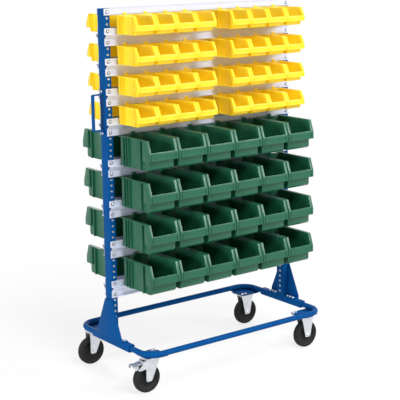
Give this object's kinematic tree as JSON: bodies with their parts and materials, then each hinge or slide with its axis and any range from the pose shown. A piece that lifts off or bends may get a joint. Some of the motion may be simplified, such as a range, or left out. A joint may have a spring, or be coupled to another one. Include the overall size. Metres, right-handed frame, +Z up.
{
  "type": "mobile rack",
  "caption": "Double-sided mobile rack: slotted uprights on a wheeled tube base, with bent sheet rails that carry hooked storage bins on both sides.",
  "frame": {"origin": "on the floor, under the middle of the whole outline, push handle included", "axes": "+X along the rack, away from the push handle; -Y towards the front side; +Z up"},
  "size_m": [1.0566, 0.577, 1.6],
  "materials": {
    "blue_paint": "gloss",
    "galvanised_steel": "satin",
    "yellow_plastic": "satin",
    "green_plastic": "satin",
    "black_rubber": "matte"
  },
  "bodies": {
    "frame": {"base_tube_front": "blue_paint", "base_tube_rear": "blue_paint", "caster_plate_front_left": "galvanised_steel", "caster_plate_rear_left": "galvanised_steel", "foot_left": "blue_paint", "foot_right": "blue_paint", "fork_front_right": "galvanised_steel", "fork_rear_right": "galvanised_steel", "push_handle": "blue_paint", "rail_front_1": "galvanised_steel", "rail_front_2": "galvanised_steel", "rail_front_3": "galvanised_steel", "rail_front_4": "galvanised_steel", "rail_front_5": "galvanised_steel", "rail_front_6": "galvanised_steel", "rail_front_7": "galvanised_steel", "rail_front_8": "galvanised_steel", "rail_front_top": "galvanised_steel", "rail_rear_1": "galvanised_steel", "rail_rear_2": "galvanised_steel", "rail_rear_3": "galvanised_steel", "rail_rear_4": "galvanised_steel", "rail_rear_5": "galvanised_steel", "rail_rear_6": "galvanised_steel", "rail_rear_7": "galvanised_steel", "rail_rear_8": "galvanised_steel", "rail_rear_top": "galvanised_steel", "upright_left": "blue_paint", "upright_right": "blue_paint"},
    "swivel_front_left": {"fork_front_left": "galvanised_steel"},
    "swivel_rear_left": {"fork_rear_left": "galvanised_steel"},
    "brake": {"brake_pedal": "galvanised_steel"},
    "wheel_front_left": {"wheel_front_left": "black_rubber"},
    "wheel_rear_left": {"wheel_rear_left": "black_rubber"},
    "wheel_front_right": {"wheel_front_right": "black_rubber"},
    "wheel_rear_right": {"wheel_rear_right": "black_rubber"},
    "bins_green_front_1": {"bins_green_front_1": "green_plastic"},
    "bins_green_front_2": {"bins_green_front_2": "green_plastic"},
    "bins_green_front_3": {"bins_green_front_3": "green_plastic"},
    "bins_green_front_4": {"bins_green_front_4": "green_plastic"},
    "bins_green_rear_1": {"bins_green_rear_1": "green_plastic"},
    "bins_green_rear_2": {"bins_green_rear_2": "green_plastic"},
    "bins_green_rear_3": {"bins_green_rear_3": "green_plastic"},
    "bins_green_rear_4": {"bins_green_rear_4": "green_plastic"},
    "bins_yellow_front_1_left": {"bins_yellow_front_1_left": "yellow_plastic"},
    "bins_yellow_front_1_right": {"bins_yellow_front_1_right": "yellow_plastic"},
    "bins_yellow_front_2_left": {"bins_yellow_front_2_left": "yellow_plastic"},
    "bins_yellow_front_2_right": {"bins_yellow_front_2_right": "yellow_plastic"},
    "bins_yellow_front_3_left": {"bins_yellow_front_3_left": "yellow_plastic"},
    "bins_yellow_front_3_right": {"bins_yellow_front_3_right": "yellow_plastic"},
    "bins_yellow_front_4_left": {"bins_yellow_front_4_left": "yellow_plastic"},
    "bins_yellow_front_4_right": {"bins_yellow_front_4_right": "yellow_plastic"},
    "bins_yellow_rear_1_left": {"bins_yellow_rear_1_left": "yellow_plastic"},
    "bins_yellow_rear_1_right": {"bins_yellow_rear_1_right": "yellow_plastic"},
    "bins_yellow_rear_2_left": {"bins_yellow_rear_2_left": "yellow_plastic"},
    "bins_yellow_rear_2_right": {"bins_yellow_rear_2_right": "yellow_plastic"},
    "bins_yellow_rear_3_left": {"bins_yellow_rear_3_left": "yellow_plastic"},
    "bins_yellow_rear_3_right": {"bins_yellow_rear_3_right": "yellow_plastic"},
    "bins_yellow_rear_4_left": {"bins_yellow_rear_4_left": "yellow_plastic"},
    "bins_yellow_rear_4_right": {"bins_yellow_rear_4_right": "yellow_plastic"}
  },
  "joints": [
    {"name": "swivel_front_left_turn", "type": "hinge", "parent": "frame", "child": "swivel_front_left", "pos_m": [-0.4075, -0.221, 0.15], "axis": [0, 0, 1], "continuous": true},
    {"name": "wheel_front_left_spin", "type": "hinge", "parent": "swivel_front_left", "child": "wheel_front_left", "pos_m": [-0.4405, -0.221, 0.0625], "axis": [0, 1, 0], "continuous": true},
    {"name": "wheel_front_right_spin", "type": "hinge", "parent": "frame", "child": "wheel_front_right", "pos_m": [0.4555, -0.221, 0.0625], "axis": [0, 1, 0], "continuous": true},
    {"name": "swivel_rear_left_turn", "type": "hinge", "parent": "frame", "child": "swivel_rear_left", "pos_m": [-0.4075, 0.221, 0.15], "axis": [0, 0, 1], "continuous": true},
    {"name": "wheel_rear_left_spin", "type": "hinge", "parent": "swivel_rear_left", "child": "wheel_rear_left", "pos_m": [-0.4405, 0.221, 0.0625], "axis": [0, 1, 0], "continuous": true},
    {"name": "wheel_rear_right_spin", "type": "hinge", "parent": "frame", "child": "wheel_rear_right", "pos_m": [0.4555, 0.221, 0.0625], "axis": [0, 1, 0], "continuous": true},
    {"name": "brake_press", "type": "hinge", "parent": "swivel_front_left", "child": "brake", "pos_m": [-0.4615, -0.221, 0.1365], "axis": [0, -1, 0], "range_deg": [0, 12]},
    {"name": "bins_green_front_1_lift", "type": "slide", "parent": "frame", "child": "bins_green_front_1", "axis": [0, 0, 1], "range_m": [0, 0.006]},
    {"name": "bins_green_front_2_lift", "type": "slide", "parent": "frame", "child": "bins_green_front_2", "axis": [0, 0, 1], "range_m": [0, 0.006]},
    {"name": "bins_green_front_3_lift", "type": "slide", "parent": "frame", "child": "bins_green_front_3", "axis": [0, 0, 1], "range_m": [0, 0.006]},
    {"name": "bins_green_front_4_lift", "type": "slide", "parent": "frame", "child": "bins_green_front_4", "axis": [0, 0, 1], "range_m": [0, 0.006]},
    {"name": "bins_green_rear_1_lift", "type": "slide", "parent": "frame", "child": "bins_green_rear_1", "axis": [0, 0, 1], "range_m": [0, 0.006]},
    {"name": "bins_green_rear_2_lift", "type": "slide", "parent": "frame", "child": "bins_green_rear_2", "axis": [0, 0, 1], "range_m": [0, 0.006]},
    {"name": "bins_green_rear_3_lift", "type": "slide", "parent": "frame", "child": "bins_green_rear_3", "axis": [0, 0, 1], "range_m": [0, 0.006]},
    {"name": "bins_green_rear_4_lift", "type": "slide", "parent": "frame", "child": "bins_green_rear_4", "axis": [0, 0, 1], "range_m": [0, 0.006]},
    {"name": "bins_yellow_front_1_left_lift", "type": "slide", "parent": "frame", "child": "bins_yellow_front_1_left", "axis": [0, 0, 1], "range_m": [0, 0.006]},
    {"name": "bins_yellow_front_1_right_lift", "type": "slide", "parent": "frame", "child": "bins_yellow_front_1_right", "axis": [0, 0, 1], "range_m": [0, 0.006]},
    {"name": "bins_yellow_front_2_left_lift", "type": "slide", "parent": "frame", "child": "bins_yellow_front_2_left", "axis": [0, 0, 1], "range_m": [0, 0.006]},
    {"name": "bins_yellow_front_2_right_lift", "type": "slide", "parent": "frame", "child": "bins_yellow_front_2_right", "axis": [0, 0, 1], "range_m": [0, 0.006]},
    {"name": "bins_yellow_front_3_left_lift", "type": "slide", "parent": "frame", "child": "bins_yellow_front_3_left", "axis": [0, 0, 1], "range_m": [0, 0.006]},
    {"name": "bins_yellow_front_3_right_lift", "type": "slide", "parent": "frame", "child": "bins_yellow_front_3_right", "axis": [0, 0, 1], "range_m": [0, 0.006]},
    {"name": "bins_yellow_front_4_left_lift", "type": "slide", "parent": "frame", "child": "bins_yellow_front_4_left", "axis": [0, 0, 1], "range_m": [0, 0.006]},
    {"name": "bins_yellow_front_4_right_lift", "type": "slide", "parent": "frame", "child": "bins_yellow_front_4_right", "axis": [0, 0, 1], "range_m": [0, 0.006]},
    {"name": "bins_yellow_rear_1_left_lift", "type": "slide", "parent": "frame", "child": "bins_yellow_rear_1_left", "axis": [0, 0, 1], "range_m": [0, 0.006]},
    {"name": "bins_yellow_rear_1_right_lift", "type": "slide", "parent": "frame", "child": "bins_yellow_rear_1_right", "axis": [0, 0, 1], "range_m": [0, 0.006]},
    {"name": "bins_yellow_rear_2_left_lift", "type": "slide", "parent": "frame", "child": "bins_yellow_rear_2_left", "axis": [0, 0, 1], "range_m": [0, 0.006]},
    {"name": "bins_yellow_rear_2_right_lift", "type": "slide", "parent": "frame", "child": "bins_yellow_rear_2_right", "axis": [0, 0, 1], "range_m": [0, 0.006]},
    {"name": "bins_yellow_rear_3_left_lift", "type": "slide", "parent": "frame", "child": "bins_yellow_rear_3_left", "axis": [0, 0, 1], "range_m": [0, 0.006]},
    {"name": "bins_yellow_rear_3_right_lift", "type": "slide", "parent": "frame", "child": "bins_yellow_rear_3_right", "axis": [0, 0, 1], "range_m": [0, 0.006]},
    {"name": "bins_yellow_rear_4_left_lift", "type": "slide", "parent": "frame", "child": "bins_yellow_rear_4_left", "axis": [0, 0, 1], "range_m": [0, 0.006]},
    {"name": "bins_yellow_rear_4_right_lift", "type": "slide", "parent": "frame", "child": "bins_yellow_rear_4_right", "axis": [0, 0, 1], "range_m": [0, 0.006]}
  ]
}
